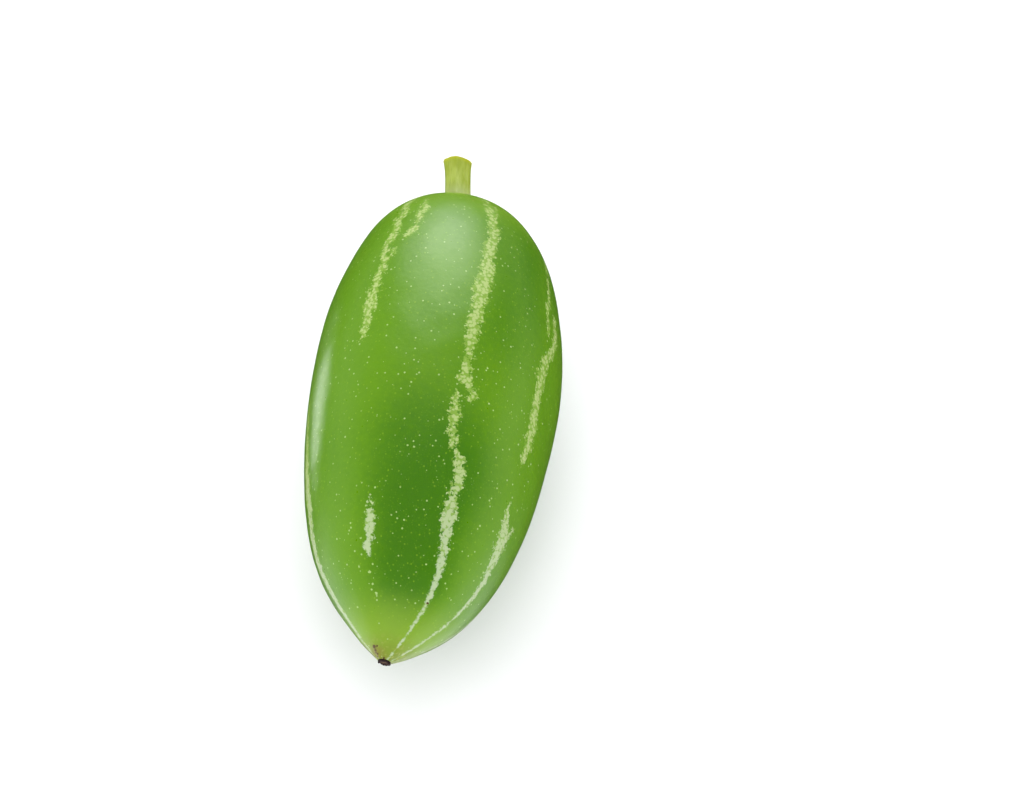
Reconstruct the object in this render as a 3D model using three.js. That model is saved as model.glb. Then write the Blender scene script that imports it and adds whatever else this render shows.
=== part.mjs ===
// An ivy gourd (Coccinia grandis), as picked, lying on its side: the fruit, the stub of its stalk
// and the dried scar that the blossom leaves. It grew as one, so nothing on it moves.
//
// Frame, in millimetres: +Z is up and z = 0 is the surface that the gourd lies on. The stalk end
// points to +Y and the blossom end to -Y. The origin is below the middle of the bounding box.
import * as THREE from "three";

// ---- Driving dimensions -------------------------------------------------------------------------
const FRUIT_LENGTH = 51.7; // blossom pole to stalk pole
const FRUIT_RADIUS = 12.55; // half the largest width
const HEIGHT_SHARE = 0.985; // the cross-section is this much lower than it is wide
const STALK_LENGTH = 5.5;
const STALK_RADIUS = 1.33; // at its waist
const SCAR_RADIUS = 0.62;
const SCAR_LENGTH = 0.4;
const GROWN_GAP = 0.05; // between pieces that grow out of each other
const PRESSED_DEPTH = 0.12; // how deep the skin is flattened where the fruit lies

// ---- How finely the surfaces are cut ------------------------------------------------------------
const FRUIT_SEGMENTS = 56;
const FRUIT_RINGS = 42;
const STALK_SEGMENTS = 30;
const STALK_RINGS = 10;
const SCAR_SEGMENTS = 20;

// ---- The fruit's outline ------------------------------------------------------------------------
// Angle psi runs from 0 at the blossom pole to PI at the stalk pole. The sine terms round off both
// ends and draw out the blossom end, and the cosine terms fill the flanks.
const BLOSSOM_DRAW = 0.85;
const FLANK_TERMS = [0.338, 0.198, 0.011, 0.013, -0.015];
const TIP_PINCH = 0.1; // how much the skin pulls in just above the scar
const TIP_PINCH_LENGTH = 1.3;

const along = (psi) => (FRUIT_LENGTH * (1 - Math.cos(psi))) / 2;

function fullness(psi) {
  const flank = FLANK_TERMS.reduce((sum, term, i) => sum + term * Math.cos((i + 1) * psi), 1);
  return Math.sin(psi) * Math.sin(psi / 2) ** BLOSSOM_DRAW * flank;
}

const steps = (count) => Array.from({ length: count + 1 }, (_, i) => i / count);
const FULLEST = Math.max(...steps(720).map((t) => fullness(t * Math.PI)));

function radius(psi) {
  const pinch = TIP_PINCH * Math.exp(-((along(psi) / TIP_PINCH_LENGTH) ** 2));
  return (FRUIT_RADIUS * fullness(psi)) / FULLEST - pinch;
}

// The angle between low and high at which the outline has the wanted radius.
function psiOfRadius(wanted, low, high) {
  for (let i = 0; i < 50; i++) {
    const middle = (low + high) / 2;
    if (radius(middle) < wanted === radius(low) < wanted) low = middle;
    else high = middle;
  }
  return (low + high) / 2;
}

// ---- The fruit's lean: a blossom end that curls aside, and a stalk seat off the axis -----------------
const CURL = 1.1; // how far the blossom pole lies to -X
const CURL_LENGTH = 5.2;
const SWAY = 0.095; // a slight wander of the axis between the ends
const SWAY_START = 9;
const SWAY_HALF_WAVE = 21.5;
const SEAT_SHIFT = 0.42; // how far the stalk's seat lies to -X
const SEAT_SHIFT_LENGTH = 1.5;
const SCAR_TILT = THREE.MathUtils.degToRad(10); // the blossom scar faces this much to -X
const SCAR_TILT_LENGTH = 2.5;

const share = (value) => Math.min(Math.max(value, 0), 1);

function axisShift(y) {
  const curl = -CURL * share(1 - y / CURL_LENGTH) ** 2;
  const sway = -SWAY * Math.cos((Math.PI * (y - SWAY_START)) / SWAY_HALF_WAVE) * share(y / SWAY_START);
  const seat = -SEAT_SHIFT * share(1 - (FRUIT_LENGTH - y) / SEAT_SHIFT_LENGTH) ** 2;
  return curl + sway + seat;
}

// ---- Shape helpers ----------------------------------------------------------------------------------
// Calls change(vertex) on every vertex of a geometry and keeps what it makes of it.
function reshape(geometry, change) {
  const position = geometry.getAttribute("position");
  const vertex = new THREE.Vector3();
  for (let i = 0; i < position.count; i++) {
    change(vertex.fromBufferAttribute(position, i));
    position.setXYZ(i, vertex.x, vertex.y, vertex.z);
  }
  geometry.computeVertexNormals();
  return geometry;
}

// Flattens the lowest stretch of a geometry to a plane, depth above its lowest point.
function pressFlat(geometry, down, depth) {
  let lowest = -Infinity;
  reshape(geometry, (v) => {
    lowest = Math.max(lowest, v.dot(down));
  });
  return reshape(geometry, (v) => {
    const over = v.dot(down) - (lowest - depth);
    if (over > 0) v.addScaledVector(down, -over);
  });
}

// A round, closed geometry about Y from an outline of [radius, height] pairs that starts and ends on it.
const turned = (outline, segments) =>
  new THREE.LatheGeometry(outline.map(([r, y]) => new THREE.Vector2(r, y)), segments);

function meshOf(name, geometry, colour, roughness) {
  const material = new THREE.MeshStandardMaterial({ color: colour, roughness, metalness: 0 });
  const mesh = new THREE.Mesh(geometry, material);
  mesh.name = name;
  return mesh;
}

// ---- How it lies ------------------------------------------------------------------------------------
// It comes to rest level at its centre of mass, so its axis is pitched by the outline's slope there.
function pitchAtRest() {
  let volume = 0;
  let moment = 0;
  const slices = steps(400).map((t) => t * Math.PI);
  slices.slice(1).forEach((psi, i) => {
    const slice = radius(psi) ** 2 * (along(psi) - along(slices[i]));
    volume += slice;
    moment += slice * along(psi);
  });
  const middle = Math.acos(1 - (2 * moment) / volume / FRUIT_LENGTH);
  const nudge = 0.01;
  const rise = radius(middle + nudge) - radius(middle - nudge);
  return Math.atan((HEIGHT_SHARE * rise) / (along(middle + nudge) - along(middle - nudge)));
}

const PITCH = pitchAtRest();
const DOWN = new THREE.Vector3(0, -Math.sin(PITCH), -Math.cos(PITCH));

// ---- Fruit ------------------------------------------------------------------------------------------
const STALK_SEAT_RADIUS = 1.62;
const SCAR_SEAT_RADIUS = 0.66;
const PSI_SCAR = psiOfRadius(SCAR_SEAT_RADIUS, 0, 0.5);
const PSI_STALK = psiOfRadius(STALK_SEAT_RADIUS, Math.PI - 0.5, Math.PI);

function makeFruit() {
  const rings = steps(FRUIT_RINGS).map((t) => PSI_SCAR + t * (PSI_STALK - PSI_SCAR));
  const outline = [
    [0, along(PSI_SCAR)],
    ...rings.map((psi) => [radius(psi), along(psi)]),
    [0, along(PSI_STALK)],
  ];
  const skin = reshape(turned(outline, FRUIT_SEGMENTS), (v) => {
    const y = v.y;
    v.z *= HEIGHT_SHARE;
    v.y -= v.x * Math.tan(SCAR_TILT) * share(1 - y / SCAR_TILT_LENGTH) ** 2;
    v.x += axisShift(y);
  });
  return meshOf("fruit", pressFlat(skin, DOWN, PRESSED_DEPTH), 0x5f9a2c, 0.35);
}

// ---- Stalk: a ribbed stub, wider at the fruit and at its cut end ------------------------------------
const STALK_RIBS = 5;
const RIB_SHARE = 0.035;
const STALK_LEAN = 0.134; // sideways run to -X for each millimetre of length
const CUT_DISH = 0.12; // the cut end is this much hollow
const STALK_FLARE = 0.12; // how much wider it is at both ends

function makeStalk() {
  const sides = steps(STALK_RINGS).map((t) => [
    STALK_RADIUS + STALK_FLARE * Math.abs(2 * t - 1) ** 3,
    STALK_LENGTH * t,
  ]);
  const dishFloor = STALK_LENGTH - CUT_DISH;
  const outline = [[0, 0], ...sides, [STALK_RADIUS * 0.6, dishFloor], [0, dishFloor]];
  const geometry = reshape(turned(outline, STALK_SEGMENTS), (v) => {
    const rib = 1 + RIB_SHARE * Math.cos(STALK_RIBS * Math.atan2(v.z, v.x));
    v.x = v.x * rib - STALK_LEAN * v.y;
    v.z *= rib;
  });
  const stalk = meshOf("stalk", geometry, 0xafc45e, 0.55);
  const seat = along(PSI_STALK);
  stalk.position.set(axisShift(seat), seat + GROWN_GAP, 0);
  return stalk;
}

// ---- Blossom scar: a dry, dished stub on the tip ----------------------------------------------------
function makeScar() {
  const outline = [
    [0, -0.45 * SCAR_LENGTH],
    [0.5 * SCAR_RADIUS, -0.55 * SCAR_LENGTH],
    [0.78 * SCAR_RADIUS, -SCAR_LENGTH],
    [SCAR_RADIUS, -0.75 * SCAR_LENGTH],
    [SCAR_RADIUS, 0],
    [0, 0],
  ];
  const scar = meshOf("blossom_scar", turned(outline, SCAR_SEGMENTS), 0x46352a, 0.9);
  const seat = along(PSI_SCAR);
  const tipAxis = new THREE.Vector3(-Math.sin(SCAR_TILT), -Math.cos(SCAR_TILT), 0);
  scar.rotation.z = -SCAR_TILT;
  scar.position.set(axisShift(seat), seat, 0).addScaledVector(tipAxis, GROWN_GAP);
  return scar;
}

// ---- The whole gourd, laid down ---------------------------------------------------------------------
const laid = new THREE.Group();
laid.rotation.x = PITCH;
laid.add(makeFruit(), makeStalk(), makeScar());

const gourd = new THREE.Group();
gourd.name = "ivy_gourd";
gourd.add(laid);

const extent = new THREE.Box3().setFromObject(gourd, true);
const middle = extent.getCenter(new THREE.Vector3());
laid.position.set(-middle.x, -middle.y, -extent.min.z);

export default gourd;
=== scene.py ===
# An ivy gourd, as picked, lying on its side on a pale floor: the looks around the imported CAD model.
#
# The row frame is in metres: +Z is up, z = 0 is the floor, and the stalk end points to +Y. Each piece
# is first shaped in the fruit's own straight frame, in millimetres: y runs along its axis from the
# blossom pole, x and z go across it, and angles round it count from +Z towards +X.
import math

import bpy
import numpy as np
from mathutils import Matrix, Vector


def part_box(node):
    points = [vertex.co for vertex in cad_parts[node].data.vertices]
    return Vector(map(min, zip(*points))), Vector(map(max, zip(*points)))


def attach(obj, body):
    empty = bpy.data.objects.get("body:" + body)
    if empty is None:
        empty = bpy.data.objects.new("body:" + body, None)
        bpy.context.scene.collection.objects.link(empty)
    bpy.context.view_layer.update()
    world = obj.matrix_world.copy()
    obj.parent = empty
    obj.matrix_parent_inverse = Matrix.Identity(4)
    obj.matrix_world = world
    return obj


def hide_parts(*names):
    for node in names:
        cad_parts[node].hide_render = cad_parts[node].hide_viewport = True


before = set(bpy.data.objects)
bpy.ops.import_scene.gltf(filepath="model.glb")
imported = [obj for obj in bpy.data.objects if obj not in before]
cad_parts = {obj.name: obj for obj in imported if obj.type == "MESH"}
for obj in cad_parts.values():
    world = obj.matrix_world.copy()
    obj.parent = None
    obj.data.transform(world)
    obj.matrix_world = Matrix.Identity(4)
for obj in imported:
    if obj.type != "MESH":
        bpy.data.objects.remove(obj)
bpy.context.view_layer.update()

MM = 0.001


# ---- The fruit's shape --------------------------------------------------------------------------
fruit_low, fruit_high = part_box("fruit")
FRUIT_RADIUS = (fruit_high.x - fruit_low.x) / 2 / MM
FRUIT_LENGTH = 4.12 * FRUIT_RADIUS
HEIGHT_SHARE = 0.985
BLOSSOM_DRAW = 0.85
FLANK_TERMS = (0.338, 0.198, 0.011, 0.013, -0.015)
TIP_PINCH, TIP_PINCH_LENGTH = 0.1, 1.3
CURL, CURL_LENGTH = 1.1, 5.2
SWAY, SWAY_START, SWAY_HALF_WAVE = 0.095, 9, 21.5
SEAT_SHIFT, SEAT_SHIFT_LENGTH = 0.42, 1.5
SCAR_TILT, SCAR_TILT_LENGTH = math.radians(10), 2.5
SCAR_SEAT_RADIUS, STALK_SEAT_RADIUS = 0.66, 1.62
PITCH = math.radians(2.17)
PRESSED_DEPTH = 0.12


def along(psi):
    return FRUIT_LENGTH * (1 - np.cos(psi)) / 2


def fullness(psi):
    flank = 1 + sum(term * np.cos((i + 1) * psi) for i, term in enumerate(FLANK_TERMS))
    return np.sin(psi) * np.sin(psi / 2) ** BLOSSOM_DRAW * flank


ALL_PSI = np.linspace(0, math.pi, 4001)
FULLEST = fullness(ALL_PSI).max()


def radius(psi):
    pinch = TIP_PINCH * np.exp(-((along(psi) / TIP_PINCH_LENGTH) ** 2))
    return FRUIT_RADIUS * fullness(psi) / FULLEST - pinch


def axis_shift(y):
    """How far the fruit's axis lies to +X at y."""
    curl = -CURL * np.clip(1 - y / CURL_LENGTH, 0, 1) ** 2
    sway = -SWAY * np.cos(math.pi * (y - SWAY_START) / SWAY_HALF_WAVE) * np.clip(y / SWAY_START, 0, 1)
    seat = -SEAT_SHIFT * np.clip(1 - (FRUIT_LENGTH - y) / SEAT_SHIFT_LENGTH, 0, 1) ** 2
    return curl + sway + seat


PSI_SCAR = ALL_PSI[np.argmax(radius(ALL_PSI) > SCAR_SEAT_RADIUS)]
PSI_STALK = ALL_PSI[-np.argmax(radius(ALL_PSI[::-1]) > STALK_SEAT_RADIUS) - 1]


def pitched(points):
    """Turns points in the straight frame, in millimetres, to the row frame's axes, in metres."""
    c, s = math.cos(PITCH), math.sin(PITCH)
    x, y, z = points[..., 0], points[..., 1], points[..., 2]
    return np.stack([x, y * c - z * s, y * s + z * c], -1) * MM


def bent(straight):
    """The skin's points from those of a straight round fruit: the curl, the sway and the scar's tilt."""
    x, y, z = straight[..., 0], straight[..., 1], straight[..., 2]
    tilt = x * math.tan(SCAR_TILT) * np.clip(1 - y / SCAR_TILT_LENGTH, 0, 1) ** 2
    return np.stack([x + axis_shift(y), y - tilt, z * HEIGHT_SHARE], -1)


def ring_points(psi, around):
    """The straight fruit's points at each psi, one row for each, and each angle around."""
    r, y = radius(psi)[:, None], along(psi)[:, None]
    return np.stack([r * np.sin(around), y + 0 * around, r * np.cos(around)], -1)


PLAIN = pitched(bent(ring_points(ALL_PSI[(ALL_PSI >= PSI_SCAR) & (ALL_PSI <= PSI_STALK)],
                                 np.linspace(0, 2 * math.pi, 361))))
OFFSET = np.array([
    (fruit_low.x + fruit_high.x) / 2 - (PLAIN[..., 0].min() + PLAIN[..., 0].max()) / 2,
    (fruit_low.y + fruit_high.y) / 2 - (PLAIN[..., 1].min() + PLAIN[..., 1].max()) / 2,
    fruit_low.z - PLAIN[..., 2].min() - PRESSED_DEPTH * MM,
])


def placed(points):
    """From the straight frame, in millimetres, to the row frame, in metres."""
    return pitched(points) + OFFSET


# ---- Mesh helpers -------------------------------------------------------------------------------
def lumps(points, wavelength, seed, waves=24):
    """A smooth random field over points, about -1 to 1: a sum of plane waves of that wavelength."""
    draw = np.random.default_rng(seed)
    field = np.zeros(points.shape[:-1])
    for _ in range(waves):
        way = draw.normal(size=3)
        way *= 2 * math.pi / wavelength / np.linalg.norm(way) * draw.uniform(0.7, 1.4)
        field += np.cos(points @ way + draw.uniform(0, 2 * math.pi))
    return field / math.sqrt(waves / 2) / 2


def tube_mesh(name, points, straight):
    """A closed smooth mesh from rings of points, (rings, around, 3) in metres, with a fan at each end.

    Each vertex also carries its place in the straight frame, which the materials are laid out in.
    """
    rings, count = points.shape[:2]
    ends = [points[0].mean(0), points[-1].mean(0)]
    vertices = np.concatenate([points.reshape(-1, 3), ends])
    faces = []
    for i in range(rings - 1):
        for j in range(count):
            k = (j + 1) % count
            faces.append((i * count + j, i * count + k, (i + 1) * count + k, (i + 1) * count + j))
    first, last = rings * count, rings * count + 1
    top = (rings - 1) * count
    for j in range(count):
        k = (j + 1) % count
        faces.append((first, k, j))
        faces.append((last, top + j, top + k))
    mesh = bpy.data.meshes.new(name)
    mesh.from_pydata(vertices.tolist(), [], faces)
    mesh.polygons.foreach_set("use_smooth", [True] * len(faces))
    ends = [straight[0].mean(0), straight[-1].mean(0)]
    values = np.concatenate([straight.reshape(-1, 3), ends])
    layer = mesh.attributes.new("straight", "FLOAT_VECTOR", "POINT")
    layer.data.foreach_set("vector", values.astype(np.float32).ravel())
    mesh.update()
    piece = bpy.data.objects.new(name, mesh)
    bpy.context.scene.collection.objects.link(piece)
    return piece


def add_number(piece, name, values):
    """Stores one number for each vertex; the two end points take their ring's mean."""
    values = np.concatenate([values.ravel(), [values[0].mean(), values[-1].mean()]])
    layer = piece.data.attributes.new(name, "FLOAT", "POINT")
    layer.data.foreach_set("value", values.astype(np.float32))


# ---- Material helpers ---------------------------------------------------------------------------
def feed(tree, socket, value):
    """Links an output to the socket, or sets the socket's own value; a colour's alpha is 1."""
    if isinstance(value, bpy.types.NodeSocket):
        tree.links.new(value, socket)
    elif isinstance(value, tuple) and len(value) == 3 and len(socket.default_value) == 4:
        socket.default_value = (*value, 1)
    else:
        socket.default_value = value


class Paint:
    """A material's node tree. Each call adds a node and gives its output to feed to other calls."""

    def __init__(self, name):
        self.material = bpy.data.materials.new(name)
        self.material.use_nodes = True
        self.tree = self.material.node_tree
        self.shader = self.tree.nodes["Principled BSDF"]

    def node(self, kind, inputs, **settings):
        made = self.tree.nodes.new("ShaderNode" + kind)
        for key, value in settings.items():
            setattr(made, key, value)
        for key, value in inputs.items():
            feed(self.tree, made.inputs[key], value)
        return made

    def set(self, **sockets):
        for key, value in sockets.items():
            feed(self.tree, self.shader.inputs[key.replace("_", " ")], value)

    def read(self, name, output="Fac"):
        return self.node("Attribute", {}, attribute_name=name).outputs[output]

    def math(self, operation, *values):
        return self.node("Math", dict(enumerate(values)), operation=operation).outputs[0]

    def add(self, *values):
        total = values[0]
        for value in values[1:]:
            total = self.math("ADD", total, value)
        return total

    def times(self, *values):
        product = values[0]
        for value in values[1:]:
            product = self.math("MULTIPLY", product, value)
        return product

    def ease(self, value, low, high, to_low=0.0, to_high=1.0):
        """A smooth step: to_low where value is low or less, to_high where it is high or more."""
        inputs = {"Value": value, "From Min": low, "From Max": high, "To Min": to_low, "To Max": to_high}
        return self.node("MapRange", inputs, interpolation_type="SMOOTHSTEP").outputs["Result"]

    def mix(self, factor, a, b):
        """A colour between a, at factor 0, and b, at factor 1."""
        return self.node("Mix", {0: factor, 6: a, 7: b}, data_type="RGBA").outputs[2]

    def stretch(self, vector, scale, shift=(0, 0, 0)):
        inputs = {"Vector": vector, "Scale": scale, "Location": shift}
        return self.node("Mapping", inputs).outputs["Vector"]

    def noise(self, vector, size, detail=2.0, roughness=0.5):
        """Noise about 0, roughly -0.5 to 0.5, with features of that size in the vector's units."""
        inputs = {"Vector": vector, "Scale": 1 / size, "Detail": detail, "Roughness": roughness}
        value = self.node("TexNoise", inputs).outputs[0]
        return self.math("SUBTRACT", value, 0.5)

    def cells(self, vector, size):
        """Scattered points about that far apart: the distance to the nearest, and its random colour."""
        made = self.node("TexVoronoi", {"Vector": vector, "Scale": 1 / size})
        return made.outputs["Distance"], made.outputs["Color"]

    def distance(self, vector, point):
        return self.node("VectorMath", {0: vector, 1: point}, operation="DISTANCE").outputs["Value"]

    def bump(self, height, distance):
        """height is in units of distance, in metres."""
        return self.node("Bump", {"Height": height, "Distance": distance}).outputs["Normal"]


LIT = 1.95  # how bright these lights make a surface, against its own colour


def shown(red, green, blue):
    """The surface colour, linear, that these lights show as this displayed colour, 0 to 255."""
    return tuple((c / 255) ** 2.2 / LIT for c in (red, green, blue))


# ---- Camera -------------------------------------------------------------------------------------
# It looks down on the gourd from the blossom end, a little to the right of its axis.
VIEW_AZIMUTH, VIEW_ELEVATION = math.radians(10.36), math.radians(61.05)
VIEW_DISTANCE = 285.1
LENS = 100
CLIP_START = 0.01
AIM_RIGHT, AIM_UP = 8.41, 2.39  # from the middle of the fruit's axis to the middle of the view


def make_camera():
    a, e = VIEW_AZIMUTH, VIEW_ELEVATION
    back = Vector((math.sin(a) * math.cos(e), -math.cos(a) * math.cos(e), math.sin(e)))
    right = Vector((math.cos(a), math.sin(a), 0))
    middle = Vector(placed(np.array([0, FRUIT_LENGTH / 2, 0])))
    aim = middle + (right * AIM_RIGHT + back.cross(right) * AIM_UP) * MM
    camera = bpy.data.objects.new("camera", bpy.data.cameras.new("camera"))
    camera.data.lens = LENS
    camera.data.clip_start = CLIP_START
    camera.location = middle + back * VIEW_DISTANCE * MM
    camera.rotation_mode = "QUATERNION"
    camera.rotation_quaternion = (aim - camera.location).to_track_quat("-Z", "Y")
    bpy.context.scene.collection.objects.link(camera)
    bpy.context.scene.camera = camera


# ---- Fruit --------------------------------------------------------------------------------------
FRUIT_RINGS, FRUIT_AROUND = 256, 320
STRIPE_TURN = 5.5  # degrees that all stripes are turned round the fruit

# The stripes, each a list of (share of the length from the blossom end, degrees round the fruit,
# half width in millimetres). They wander, branch and break off, and end at the blossom scar.
STRIPES = (
    ((0.975, -37, 0.12), (0.95, -40, 0.35), (0.92, -41, 0.42), (0.89, -38, 0.5), (0.86, -39, 0.45),
     (0.83, -37.5, 0.6), (0.8, -38.5, 0.4), (0.77, -38.5, 0.55), (0.74, -36, 0.4), (0.7, -37.5, 0.5),
     (0.65, -39, 0.78), (0.61, -38, 0.5), (0.59, -39, 0.45), (0.575, -39.5, 0.15)),
    ((0.78, -33, 0.15), (0.765, -32, 0.32), (0.755, -35, 0.25)),
    ((0.92, -26, 0.15), (0.9, -24.5, 0.4), (0.87, -25, 0.45), (0.845, -24, 0.2), (0.828, -25.5, 0.6),
     (0.818, -28, 0.55), (0.813, -29, 0.2)),
    ((0.255, -26.5, 0.08), (0.235, -26, 0.3), (0.215, -26, 0.6), (0.2, -26, 0.55), (0.185, -26.5, 0.3),
     (0.17, -28.5, 0.45), (0.16, -28, 0.3)),
    ((0.97, 20.5, 0.15), (0.94, 19.5, 0.3), (0.9, 20, 0.55), (0.86, 20.5, 0.55), (0.82, 19, 0.62),
     (0.78, 17, 0.65), (0.74, 16, 0.8), (0.7, 14.5, 0.75), (0.66, 14, 0.68), (0.62, 12.5, 0.75),
     (0.58, 12, 0.62), (0.55, 12, 0.36), (0.525, 11.5, 0.45), (0.505, 11.5, 0.7), (0.49, 14, 0.6),
     (0.475, 17, 0.45), (0.46, 16, 0.25)),
    ((0.465, 9.5, 0.22), (0.445, 9.5, 0.38), (0.425, 10.5, 0.6), (0.405, 10, 0.36), (0.38, 12, 0.5),
     (0.36, 13, 0.36), (0.345, 17, 0.45), (0.32, 18, 0.55), (0.295, 19, 0.55), (0.27, 18.5, 0.42),
     (0.245, 18, 0.85), (0.225, 18.5, 0.6), (0.2, 20, 0.45), (0.17, 21.5, 0.45), (0.14, 23, 0.36),
     (0.11, 23, 0.28), (0.08, 22.5, 0.18), (0.05, 21.5, 0.09), (0.025, 20, 0.05),
     (0.01, 18, 0.04)),
    ((0.94, 25, 0.12), (0.91, 24.5, 0.2), (0.89, 23, 0.12)),
    ((0.87, 68, 0.12), (0.84, 65, 0.2), (0.8, 62, 0.28), (0.77, 60, 0.3), (0.74, 57.5, 0.42),
     (0.71, 56, 0.35), (0.67, 56.5, 0.2)),
    ((0.72, 64.5, 0.42), (0.7, 64.5, 0.5), (0.67, 64, 0.62), (0.65, 62, 0.6), (0.62, 56.5, 0.58),
     (0.58, 53.5, 0.7), (0.54, 53, 0.62), (0.5, 53, 0.66), (0.46, 54.5, 0.7), (0.42, 54, 0.6),
     (0.395, 53, 0.35), (0.385, 52.5, 0.1)),
    ((0.305, 53, 0.12), (0.285, 53.5, 0.4), (0.25, 58, 0.85), (0.22, 58.5, 0.75), (0.19, 60.5, 0.45),
     (0.16, 63, 0.36), (0.13, 63.5, 0.28), (0.1, 62.5, 0.2), (0.07, 60.5, 0.16), (0.045, 58.5, 0.13),
     (0.02, 57, 0.1), (0.008, 54, 0.05)),
    ((0.27, 64, 0.15), (0.25, 62, 0.3)),
    ((0.49, -79, 0.2), (0.46, -80, 0.5), (0.4, -79, 0.55), (0.35, -79, 0.9), (0.31, -78, 1.0),
     (0.27, -77, 0.7), (0.24, -78, 0.6), (0.2, -80, 0.65), (0.16, -82, 0.6), (0.1, -83, 0.46),
     (0.06, -83, 0.3), (0.02, -84, 0.1)),
    ((0.93, -100, 0.2), (0.88, -98, 0.5), (0.8, -101, 0.6), (0.74, -97, 0.45), (0.7, -98, 0.2)),
    ((0.95, 98, 0.2), (0.9, 101, 0.5), (0.83, 99, 0.6), (0.76, 103, 0.75), (0.7, 101, 0.5),
     (0.66, 97, 0.3)),
    ((0.5, 100, 0.2), (0.46, 98, 0.6), (0.4, 101, 0.7), (0.33, 99, 0.55), (0.26, 97, 0.65),
     (0.18, 100, 0.45), (0.1, 99, 0.32), (0.04, 97, 0.12)),
    ((0.96, 137, 0.2), (0.9, 134, 0.6), (0.82, 137, 0.55), (0.73, 133, 0.8), (0.65, 136, 0.6),
     (0.58, 139, 0.75), (0.52, 136, 0.3)),
    ((0.42, 133, 0.15), (0.37, 136, 0.5), (0.29, 134, 0.75), (0.2, 138, 0.5), (0.11, 135, 0.36),
     (0.03, 133, 0.08)),
    ((0.95, 176, 0.2), (0.88, 173, 0.45), (0.8, 175, 0.7), (0.7, 171, 0.55), (0.6, 174, 0.75),
     (0.5, 178, 0.6), (0.42, 175, 0.4), (0.36, 177, 0.6), (0.27, 173, 0.5), (0.17, 176, 0.5),
     (0.08, 174, 0.25), (0.02, 173, 0.05)),
    ((0.94, -139, 0.2), (0.87, -143, 0.6), (0.8, -140, 0.65), (0.72, -144, 0.4), (0.68, -142, 0.15)),
    ((0.55, -143, 0.2), (0.5, -141, 0.55), (0.42, -144, 0.7), (0.34, -140, 0.6), (0.25, -142, 0.4),
     (0.16, -139, 0.45), (0.07, -141, 0.22), (0.02, -142, 0.05)),
    ((0.66, -112, 0.15), (0.61, -110, 0.5), (0.55, -112, 0.3)),
    ((0.34, -113, 0.1), (0.3, -111, 0.45), (0.22, -114, 0.5), (0.12, -112, 0.34), (0.04, -113, 0.1)),
)


def stripe_depth(straight):
    """How deep each point lies in its nearest stripe, in millimetres, below 0 outside."""
    x, y, z = straight[..., 0], straight[..., 1], straight[..., 2]
    around, r = np.arctan2(x, z), np.hypot(x, z)
    deepest = np.full(y.shape, -3.0)
    for stripe in STRIPES:
        where, angle, half_width = np.array(sorted(stripe)).T
        share = np.clip(y / FRUIT_LENGTH, where[0], where[-1])
        middle = np.radians(np.interp(share, where, angle) + STRIPE_TURN)
        aside = r * np.abs((around - middle + math.pi) % (2 * math.pi) - math.pi)
        past = y - share * FRUIT_LENGTH
        deepest = np.maximum(deepest, np.interp(share, where, half_width) - np.hypot(aside, past))
    return deepest


DIMPLE_DEPTH, DIMPLE_RADIUS = 0.3, 3.2
COLLAR_HEIGHT, COLLAR_WIDTH = 0.16, 0.4
TIP_FOLDS, FOLD_DEPTH, FOLD_LENGTH = 9, 0.035, 1.6
CALM_LENGTH = 4  # over which the swelling dies away towards each end
# Each swelling is (height, wavelength, seed).
BROAD_SWELL, SMALL_SWELL = (0.06, 11, 3), (0.015, 3.5, 5)


def make_fruit():
    psi = np.linspace(PSI_SCAR, PSI_STALK, FRUIT_RINGS)
    around = np.arange(FRUIT_AROUND) * 2 * math.pi / FRUIT_AROUND
    straight = ring_points(psi, around)
    x, y, z = straight[..., 0], straight[..., 1], straight[..., 2]
    r = np.hypot(x, z)

    # The skin swells and sinks a little, and puckers round the scar.
    calm = np.clip(y / CALM_LENGTH, 0, 1) * np.clip((FRUIT_LENGTH - y) / CALM_LENGTH, 0, 1)
    swells = [height * lumps(straight, size, seed) for height, size, seed in (BROAD_SWELL, SMALL_SWELL)]
    swell = calm * sum(swells)
    swell += FOLD_DEPTH * np.cos(TIP_FOLDS * np.arctan2(x, z) + 0.6) * np.exp(-((y / FOLD_LENGTH) ** 2))
    # Round the stalk it sinks to a dimple, with a low collar at the stalk itself.
    near_stalk = y > FRUIT_LENGTH / 2
    dimple = -DIMPLE_DEPTH * np.exp(-((r / DIMPLE_RADIUS) ** 2))
    collar = COLLAR_HEIGHT * np.exp(-(((r - STALK_SEAT_RADIUS) / COLLAR_WIDTH) ** 2))
    shaped = straight.copy()
    shaped[..., 0] += x / r * swell
    shaped[..., 1] += np.where(near_stalk, dimple + collar, 0)
    shaped[..., 2] += z / r * swell

    points = placed(bent(shaped))
    points[..., 2] = np.maximum(points[..., 2], fruit_low.z)
    fruit = tube_mesh("fruit_skin", points, straight)
    add_number(fruit, "stripe_depth", stripe_depth(straight))
    return fruit


# Small marks, each (share of the length, degrees round the fruit, radius in millimetres).
PALE_SPOTS = (
    (0.187, -26.0, 0.13), (0.185, -32.5, 0.11), (0.14, -37.0, 0.13), (0.13, -29.0, 0.15),
    (0.112, -28.0, 0.12), (0.098, -26.0, 0.13), (0.094, -25.5, 0.12),
)
BROWN_FLECKS = (
    (0.0245, -50, 0.24), (0.025, -40, 0.13), (0.0195, -53, 0.2), (0.0165, -58, 0.17), (0.0145, -49, 0.16),
    (0.0115, -62, 0.14), (0.0095, -10, 0.13), (0.0935, 24, 0.15),
)


def skin_point(share, degrees):
    """The straight fruit's surface point there."""
    angle = math.radians(degrees + STRIPE_TURN)
    r = float(radius(math.acos(1 - 2 * share)))
    return r * math.sin(angle), share * FRUIT_LENGTH, r * math.cos(angle)


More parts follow.
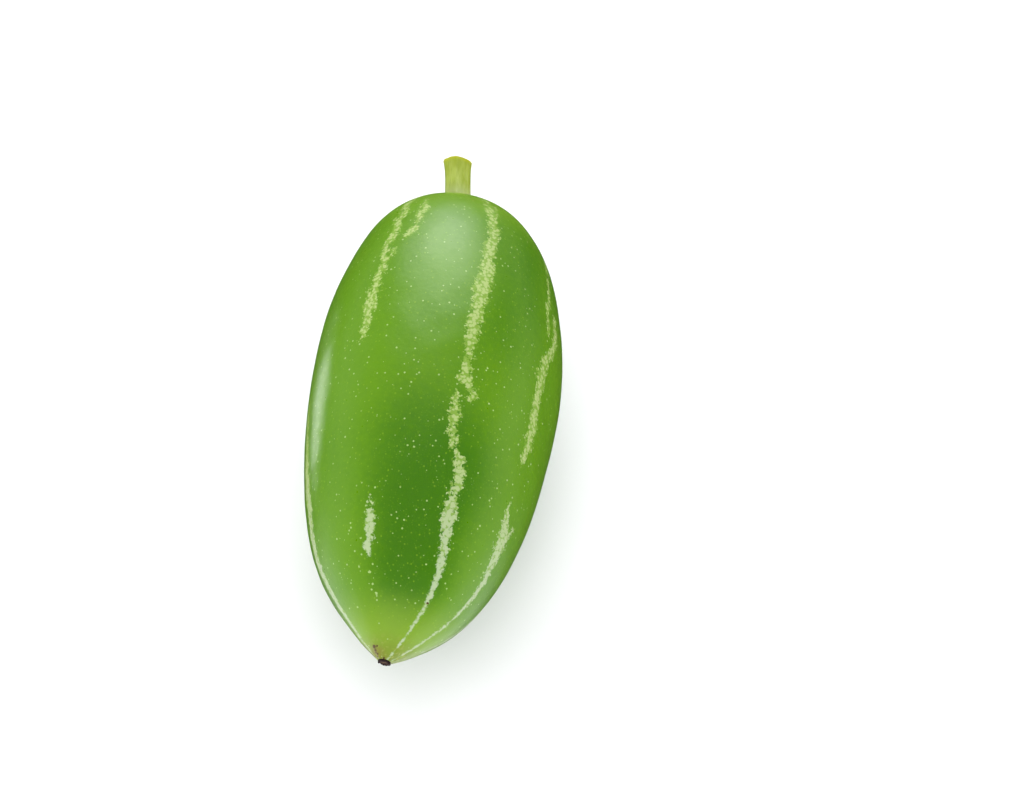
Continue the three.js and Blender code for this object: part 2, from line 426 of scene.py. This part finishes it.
def spots(paint, place, marks):
    """1 in each small roundish mark and 0 elsewhere."""
    wobble = paint.times(paint.noise(place, 0.16, detail=1), 0.3)
    found = 0.0
    for share, degrees, size in marks:
        at = skin_point(share, degrees)
        distance = paint.add(paint.distance(place, at), wobble)
        found = paint.math("MAXIMUM", found, paint.ease(distance, size * 1.2, size * 0.6))
    return found


MID_GREEN, DEEP_GREEN = shown(114, 170, 22), shown(77, 138, 0)
# The stalk end's colour is painted light: a lighter, yellower green in place of light from behind.
STALK_END_PAINTED_LIGHT, BLOSSOM_END_GREEN = shown(154, 202, 54), shown(154, 196, 48)
TIP_OLIVE, TIP_STREAK, SCAR_SIDE_OLIVE = shown(138, 150, 34), shown(178, 192, 84), shown(150, 138, 44)
FAINT_DOT, CLEAR_DOT = shown(156, 204, 50), shown(198, 232, 142)
# Each pair is for the blossom end and for the rest of the fruit.
BAND_COLOURS = shown(162, 202, 96), shown(152, 196, 68)
BLOB_COLOURS = shown(212, 232, 184), shown(206, 230, 140)
FLECK_BROWN = shown(94, 60, 0)
CLEAR_SPACING, FAINT_SPACING, STIPPLE_SPACING, BLOB_SPACING = 0.64, 0.6, 0.34, 0.34
COARSE_RAG, FINE_RAG = 0.7, 0.22
SKIN_RELIEF = 0.02
# The darker core faces up, towards the camera: partly the fruit's own deeper green, partly painted shade.
SHADED_CORE_TURN, SHOULDER_TURN = 0.06, 0.62  # radians round the fruit, counted as the stripes are


def ground_colour(paint, place, grain, share, turn):
    """Deep green with broad soft patches, lighter and yellower at both ends, olive at the tip. The darker
    core on the upward face is partly the fruit's own tone and partly painted shade, and the lighter stalk
    end is painted light.
    """
    broad = paint.noise(paint.stretch(place, (1, 0.5, 1)), 7, detail=1)
    # The core: deeper green on the upward face of the blossom half, partly own tone and partly painted
    # shade, with the flanks left lighter.
    core_along = paint.times(paint.ease(share, 0.03, 0.15), paint.ease(share, 0.58, 0.24))
    off_core = paint.math("ABSOLUTE", paint.math("SUBTRACT", turn, SHADED_CORE_TURN))
    core = paint.times(core_along, paint.ease(off_core, 0.88, -0.05))
    shoulder_along = paint.times(paint.ease(share, 0.45, 0.7), paint.ease(share, 0.95, 0.8))
    off_shoulder = paint.math("ABSOLUTE", paint.math("SUBTRACT", turn, SHOULDER_TURN))
    shoulder = paint.times(shoulder_along, paint.ease(off_shoulder, 0.5, 0.1))
    depth = paint.add(paint.times(core, 1.2), paint.times(shoulder, 0.5),
                      paint.times(broad, 0.9), paint.times(grain, 0.5))
    ground = paint.mix(paint.ease(depth, -0.25, 0.95), MID_GREEN, DEEP_GREEN)
    # Painted light: the stalk end lightened and yellowed in its colour.
    ground = paint.mix(paint.ease(share, 0.86, 0.98, 0.0, 0.7), ground, STALK_END_PAINTED_LIGHT)
    ground = paint.mix(paint.ease(share, 0.12, 0.025, 0.0, 0.8), ground, BLOSSOM_END_GREEN)
    tip = paint.ease(share, 0.05, 0.005)
    ground = paint.mix(paint.times(tip, 0.75), ground, TIP_OLIVE)
    streaks = paint.noise(paint.stretch(place, (1, 0.1, 1)), 0.32, detail=2)
    ground = paint.mix(paint.times(tip, paint.ease(streaks, 0.02, 0.16)), ground, TIP_STREAK)
    from_scar_side = paint.distance(place, skin_point(0.017, -52))
    return paint.mix(paint.ease(from_scar_side, 1.3, 0.1, 0.0, 0.7), ground, SCAR_SIDE_OLIVE)


def clear_dot_mask(paint, place):
    """1 in the clear dots, which differ in size."""
    distance, colour = paint.cells(place, CLEAR_SPACING)
    pick = paint.node("SeparateColor", {"Color": colour}).outputs[0]
    size = paint.ease(pick, 0.0, 1.0, 0.09, 0.21)
    return paint.ease(distance, size, paint.times(size, 0.45))


def dotted(paint, place, ground, clear_dots):
    """The ground colour with the small pale dots: clear ones, and smaller, fainter ones."""
    faint_distance, _ = paint.cells(paint.stretch(place, (1, 1, 1), (3, 5, 7)), FAINT_SPACING)
    stipple_distance, _ = paint.cells(paint.stretch(place, (1, 1, 1), (8, 1, 4)), STIPPLE_SPACING)
    faint_dots = paint.ease(faint_distance, 0.2, 0.08, 0.0, 0.5)
    stipple = paint.ease(stipple_distance, 0.26, 0.1, 0.0, 0.2)
    ground = paint.mix(paint.math("MAXIMUM", faint_dots, stipple), ground, FAINT_DOT)
    dots = paint.math("MAXIMUM", clear_dots, spots(paint, place, PALE_SPOTS))
    return paint.mix(paint.times(dots, 0.9), ground, CLEAR_DOT)


def stripe_masks(paint, place, share):
    """1 in the stripes, which have ragged edges, and 1 in the pale blobs that fill them."""
    rag = paint.ease(share, 0.06, 0.3, 0.3, 1.0)
    coarse = paint.noise(place, COARSE_RAG, detail=2, roughness=0.6)
    fine = paint.noise(place, FINE_RAG, detail=2, roughness=0.6)
    raggedness = paint.times(rag, paint.add(paint.times(coarse, 1.8), paint.times(fine, 1.5)))
    inside = paint.add(paint.read("stripe_depth"), raggedness)
    blob_distance, _ = paint.cells(place, BLOB_SPACING)
    filled = paint.ease(share, 0.42, 0.12, 0.0, 0.25)
    closeness = paint.add(paint.times(blob_distance, -1.0), paint.times(inside, 0.3), filled)
    return paint.ease(inside, -0.1, 0.12), paint.ease(closeness, -0.56, -0.26)


def skin_material():
    paint = Paint("skin")
    place = paint.read("straight", "Vector")
    x, y, z = paint.node("SeparateXYZ", {"Vector": place}).outputs
    share = paint.math("DIVIDE", y, FRUIT_LENGTH)
    turn = paint.math("SUBTRACT", paint.math("ARCTAN2", x, z), math.radians(STRIPE_TURN))
    grain = paint.noise(place, 0.6, detail=3, roughness=0.6)

    clear_dots = clear_dot_mask(paint, place)
    ground = dotted(paint, place, ground_colour(paint, place, grain, share, turn), clear_dots)

    band, blobs = stripe_masks(paint, place, share)
    band_colour = paint.mix(paint.ease(share, 0.15, 0.5), *BAND_COLOURS)
    blob_colour = paint.mix(paint.ease(share, 0.1, 0.45), *BLOB_COLOURS)
    colour = paint.mix(paint.times(band, 0.9), ground, paint.mix(blobs, band_colour, blob_colour))
    colour = paint.mix(spots(paint, place, BROWN_FLECKS), colour, FLECK_BROWN)

    # Fine relief: faint grain, and the dots and stripes stand a hair proud.
    relief = paint.add(paint.times(paint.noise(place, 0.45, detail=3), 0.8),
                       paint.times(clear_dots, 0.35), paint.times(band, 0.25))
    paint.set(Base_Color=colour, Normal=paint.bump(relief, SKIN_RELIEF * MM),
              Roughness=paint.add(0.32, paint.times(grain, 0.2), paint.times(band, 0.08)))
    paint.set(Subsurface_Weight=0.15, Subsurface_Radius=(1.0, 1.6, 0.4), Subsurface_Scale=MM,
              Specular_IOR_Level=0.45)
    return paint.material


# ---- Stalk --------------------------------------------------------------------------------------
STALK_LENGTH = 5.5
STALK_RADIUS = 1.33
STALK_FLARE = 0.16
STALK_LEAN = 0.134
STALK_CUT_SLANT = 0.01
STALK_ROOT = 0.5  # how far it reaches into the fruit
STALK_RINGS, STALK_AROUND, CUT_RINGS = 90, 160, 25


def make_stalk():
    around = np.arange(STALK_AROUND) * 2 * math.pi / STALK_AROUND
    t = np.linspace(0, 1, STALK_RINGS)[:, None]
    run = -STALK_ROOT + (STALK_LENGTH + STALK_ROOT) * t
    share = np.clip(run / STALK_LENGTH, 0, 1)
    r = STALK_RADIUS + STALK_FLARE * np.abs(2 * share - 1) ** 3
    straight_up = np.stack([np.sin(around) + 0 * t, run + 0 * around, np.cos(around) + 0 * t], -1)
    ribs = 0.035 * np.cos(5 * around + 0.4) + 0.01 * np.cos(13 * around + 1.1)
    ribs = ribs + 0.012 * lumps(straight_up * (3, 0.4, 3), 2.0, seed=11)
    r = r * (1 + ribs)

    # The cut end: an uneven rounded rim, a shallow dish and a knot in the middle.
    cut_t = np.linspace(0, 1, CUT_RINGS + 1)[1:, None]
    cut_r = r[-1:] * (1 - cut_t * 0.97)
    dish = 0.05 * np.sin(np.clip(cut_t * 6, 0, 1) * math.pi) - 0.16 * np.clip((cut_t - 0.08) * 3.2, 0, 1)
    cut_face = np.stack([cut_r * np.sin(around), cut_r * np.cos(around), 0 * cut_r], -1)
    fibres = 0.025 * lumps(cut_face, 0.5, seed=13)
    cut_y = STALK_LENGTH + dish + fibres * np.clip(cut_t * 4, 0, 1)
    r_all = np.concatenate([r, cut_r])
    y_all = np.concatenate([run + 0 * around, cut_y])
    x = r_all * np.sin(around)
    z = r_all * np.cos(around)
    y_all = y_all - STALK_CUT_SLANT * x * np.clip(y_all / STALK_LENGTH, 0, 1)
    straight = np.stack([x, y_all, z], -1)

    seat = float(along(PSI_STALK))
    points = straight.copy()
    points[..., 0] += axis_shift(seat) - STALK_LEAN * y_all
    points[..., 1] += seat
    return tube_mesh("stalk_stub", placed(points), straight)


# Each pair is a darker and a lighter colour, which fibres or rings mix.
SIDE_COLOURS = shown(168, 190, 40), shown(198, 216, 92)
CUT_COLOURS = shown(150, 160, 60), shown(205, 212, 130)
# The pale root colour is partly the stalk's own paler base and partly a painted highlight streak up to
# its middle.
ROOT_PALE_AND_HIGHLIGHT, UPPER_GREEN, RIM_YELLOW, PITH_OLIVE = (
    shown(206, 222, 150), shown(176, 194, 34), shown(206, 208, 16), shown(122, 130, 50))
STALK_RELIEF = 0.05


def stalk_material():
    paint = Paint("stalk")
    place = paint.read("straight", "Vector")
    x, y, z = paint.node("SeparateXYZ", {"Vector": place}).outputs
    share = paint.math("DIVIDE", y, STALK_LENGTH)
    fibres = paint.noise(paint.stretch(place, (1, 0.16, 1)), 0.3, detail=3, roughness=0.6)
    patches = paint.noise(paint.stretch(place, (1, 0.5, 1)), 1.2, detail=2)
    streak = paint.ease(paint.add(fibres, paint.times(patches, 0.6)), -0.12, 0.2)
    side = paint.mix(streak, *SIDE_COLOURS)
    # Paler towards the root: partly own colour, partly painted highlight.
    side = paint.mix(paint.ease(share, 0.55, 0.2, 0.0, 0.5), side, ROOT_PALE_AND_HIGHLIGHT)
    side = paint.mix(paint.ease(share, 0.5, 0.9, 0.0, 0.4), side, UPPER_GREEN)
    side = paint.mix(paint.ease(share, 0.9, 0.99, 0.0, 0.85), side, RIM_YELLOW)
    reach = paint.math("SQRT", paint.add(paint.times(x, x), paint.times(z, z)))
    on_cut = paint.times(paint.ease(share, 0.955, 0.975), paint.ease(reach, 1.3, 1.15))
    rings = paint.noise(paint.stretch(place, (1, 0.2, 1)), 0.22, detail=3, roughness=0.65)
    cut = paint.mix(paint.ease(rings, -0.15, 0.2), *CUT_COLOURS)
    cut = paint.mix(paint.ease(reach, 0.5, 0.1), cut, PITH_OLIVE)
    colour = paint.mix(on_cut, side, cut)
    relief = paint.add(fibres, paint.times(rings, 0.5))
    paint.set(Base_Color=colour, Normal=paint.bump(relief, STALK_RELIEF * MM),
              Roughness=paint.add(0.5, paint.times(fibres, 0.3)))
    paint.set(Subsurface_Weight=0.2, Subsurface_Radius=(1.0, 1.2, 0.4), Subsurface_Scale=0.8 * MM)
    return paint.material


# ---- Blossom scar -------------------------------------------------------------------------------
SCAR_RADIUS = 0.62
SCAR_LENGTH = 0.21
SCAR_RINGS, SCAR_AROUND = 60, 120
# From the root inwards: (share of the radius, height out of the fruit as a share of the length).
SCAR_PROFILE = (
    (0.9, -1.2), (0.97, -0.2), (1.03, 0.3), (1.02, 0.7), (0.93, 1.0), (0.82, 1.0),
    (0.7, 0.75), (0.6, 0.45), (0.48, 0.3), (0.34, 0.3), (0.2, 0.5), (0.08, 0.6),
)


def make_scar():
    around = np.arange(SCAR_AROUND) * 2 * math.pi / SCAR_AROUND
    profile = np.array(SCAR_PROFILE)
    steps = np.linspace(0, len(profile) - 1, SCAR_RINGS)
    r = np.interp(steps, range(len(profile)), profile[:, 0])[:, None] * SCAR_RADIUS
    out = np.interp(steps, range(len(profile)), profile[:, 1])[:, None] * SCAR_LENGTH
    flat = np.stack([r * np.sin(around), out + 0 * around, r * np.cos(around)], -1)
    crinkle = lumps(flat, 0.55, seed=21)
    fine = lumps(flat, 0.2, seed=22)
    tongues = np.cos(5 * around + 0.9) * 0.5 + np.cos(11 * around + 2.0) * 0.3
    free = np.clip(out / SCAR_LENGTH, 0, 1)
    r = r * (1 + free * (0.06 * crinkle + 0.02 * tongues + 0.03 * fine))
    out = out + free * SCAR_LENGTH * (0.12 * tongues + 0.3 * crinkle + 0.15 * fine)
    straight = np.stack([r * np.sin(around), -out, r * np.cos(around)], -1)
    c, s = math.cos(SCAR_TILT), math.sin(SCAR_TILT)
    seat = float(along(PSI_SCAR))
    x, y, z = straight[..., 0], straight[..., 1], straight[..., 2]
    points = np.stack([x * c + y * s + axis_shift(seat), -x * s + y * c + seat, z], -1)
    return tube_mesh("dried_blossom", placed(points)[::-1], straight[::-1])


SCAR_DARK, SCAR_BROWN, SCAR_TAN, SCAR_RING = (
    shown(58, 34, 38), shown(92, 66, 58), shown(150, 122, 96), shown(40, 24, 24))
SCAR_RELIEF = 0.06


def scar_material():
    paint = Paint("scar")
    place = paint.read("straight", "Vector")
    grain = paint.noise(place, 0.14, detail=4, roughness=0.65)
    patches = paint.noise(place, 0.4, detail=2)
    x, y, z = paint.node("SeparateXYZ", {"Vector": place}).outputs
    reach = paint.math("SQRT", paint.add(paint.times(x, x), paint.times(z, z)))
    colour = paint.mix(paint.ease(grain, -0.1, 0.2), SCAR_DARK, SCAR_BROWN)
    colour = paint.mix(paint.ease(patches, -0.02, 0.12, 0.0, 0.7), colour, SCAR_TAN)
    colour = paint.mix(paint.ease(reach, 0.4, 0.5, 0.0, 0.9), colour, SCAR_RING)
    paint.set(Base_Color=colour, Normal=paint.bump(grain, SCAR_RELIEF * MM), Roughness=0.85)
    return paint.material


# ---- Floor, light and world ---------------------------------------------------------------------
FLOOR_HALF = 8.0
FLOOR_TONES = (0.765, 0.765, 0.80), (0.79, 0.79, 0.81)


def make_floor():
    corners = [(x * FLOOR_HALF, y * FLOOR_HALF, 0) for x, y in ((-1, -1), (1, -1), (1, 1), (-1, 1))]
    mesh = bpy.data.meshes.new("floor")
    mesh.from_pydata(corners, [], [(0, 1, 2, 3)])
    floor = bpy.data.objects.new("floor", mesh)
    bpy.context.scene.collection.objects.link(floor)
    paint = Paint("floor")
    place = paint.node("TexCoord", {}).outputs["Object"]
    cloud = paint.noise(place, 0.05, detail=2)
    tone = paint.mix(paint.add(0.5, cloud), *FLOOR_TONES)
    paint.set(Base_Color=tone, Roughness=0.5)
    floor.data.materials.append(paint.material)
    floor.visible_glossy = False


# Each light: name, azimuth (0 is +Y, 90 is +X) and elevation in degrees, distance and size in
# metres, radiance, and what sees it. A "diffuse" one makes no highlight, a "glossy" one only that.
LIGHTS = (
    ("back_softbox", -4, 32, 0.55, (0.34, 0.3), 3.6, "glossy"),
    ("back_glow", -6, 34, 0.56, (0.66, 0.56), 2.9, "glossy"),
    ("left_gleam", -65, -26, 0.5, (0.11, 0.17), 5.8, "glossy"),
    ("overhead", 0, 90, 0.8, (2.0, 2.0), 1.5, "diffuse"),
    ("back_fill", -6, 20, 0.6, (0.7, 0.4), 3.6, "diffuse"),
    ("left_fill", -85, 14, 0.6, (0.7, 0.36), 4.4, "diffuse"),
    ("right_fill", 88, 14, 0.6, (0.7, 0.36), 4.0, "diffuse"),
    ("front_fill", 185, 20, 0.6, (1.0, 0.3), 4.2, "diffuse"),
)


def softbox(name, azimuth, elevation, distance, size, radiance, seen_by):
    """An oval area light that faces the gourd."""
    a, e = math.radians(azimuth), math.radians(elevation)
    way = Vector((math.sin(a) * math.cos(e), math.cos(a) * math.cos(e), math.sin(e)))
    light = bpy.data.lights.new(name, "AREA")
    light.shape = "ELLIPSE"
    light.size, light.size_y = size
    light.energy = radiance * math.pi * size[0] * size[1] * math.pi / 4
    lamp = bpy.data.objects.new(name, light)
    lamp.location = Vector((0, 0, (fruit_low.z + fruit_high.z) / 2)) + way * distance
    lamp.rotation_mode = "QUATERNION"
    lamp.rotation_quaternion = (-way).to_track_quat("-Z", "Y")
    lamp.visible_glossy = seen_by == "glossy"
    lamp.visible_diffuse = seen_by == "diffuse"
    lamp.visible_camera = False
    bpy.context.scene.collection.objects.link(lamp)


def make_world():
    """Sky that is brighter near the horizon, and below it a glow from the front."""
    world = bpy.data.worlds.new("studio")
    world.use_nodes = True
    bpy.context.scene.world = world
    tree = world.node_tree

    def ramp(value, start, end, at_start, at_end):
        made = tree.nodes.new("ShaderNodeMapRange")
        made.interpolation_type = "SMOOTHSTEP"
        feed(tree, made.inputs["Value"], value)
        settings = {"From Min": start, "From Max": end, "To Min": at_start, "To Max": at_end}
        for key, setting in settings.items():
            feed(tree, made.inputs[key], setting)
        return made.outputs["Result"]

    split = tree.nodes.new("ShaderNodeSeparateXYZ")
    feed(tree, split.inputs[0], tree.nodes.new("ShaderNodeTexCoord").outputs["Generated"])
    _, forward, up = split.outputs
    above = ramp(up, 0.0, 0.6, 0.4, 0.01)
    below = ramp(forward, -0.1, 0.25, 1.5, 0.03)
    background = tree.nodes["Background"]
    feed(tree, background.inputs["Strength"], ramp(up, -0.3, 0.0, below, above))
    feed(tree, background.inputs["Color"], (0.97, 0.985, 1))


# ---- Everything together ------------------------------------------------------------------------
make_camera()
for make_piece, make_material, slot, node in (
    (make_fruit, skin_material, "skin", "fruit"),
    (make_stalk, stalk_material, "stalk", "stalk"),
    (make_scar, scar_material, "scar", "blossom_scar"),
):
    piece = make_piece()
    piece.data.materials.append(make_material())
    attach(piece, "root")
    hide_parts(node)
make_floor()
for light in LIGHTS:
    softbox(*light)
make_world()
bpy.context.scene.view_settings.view_transform = "Standard"
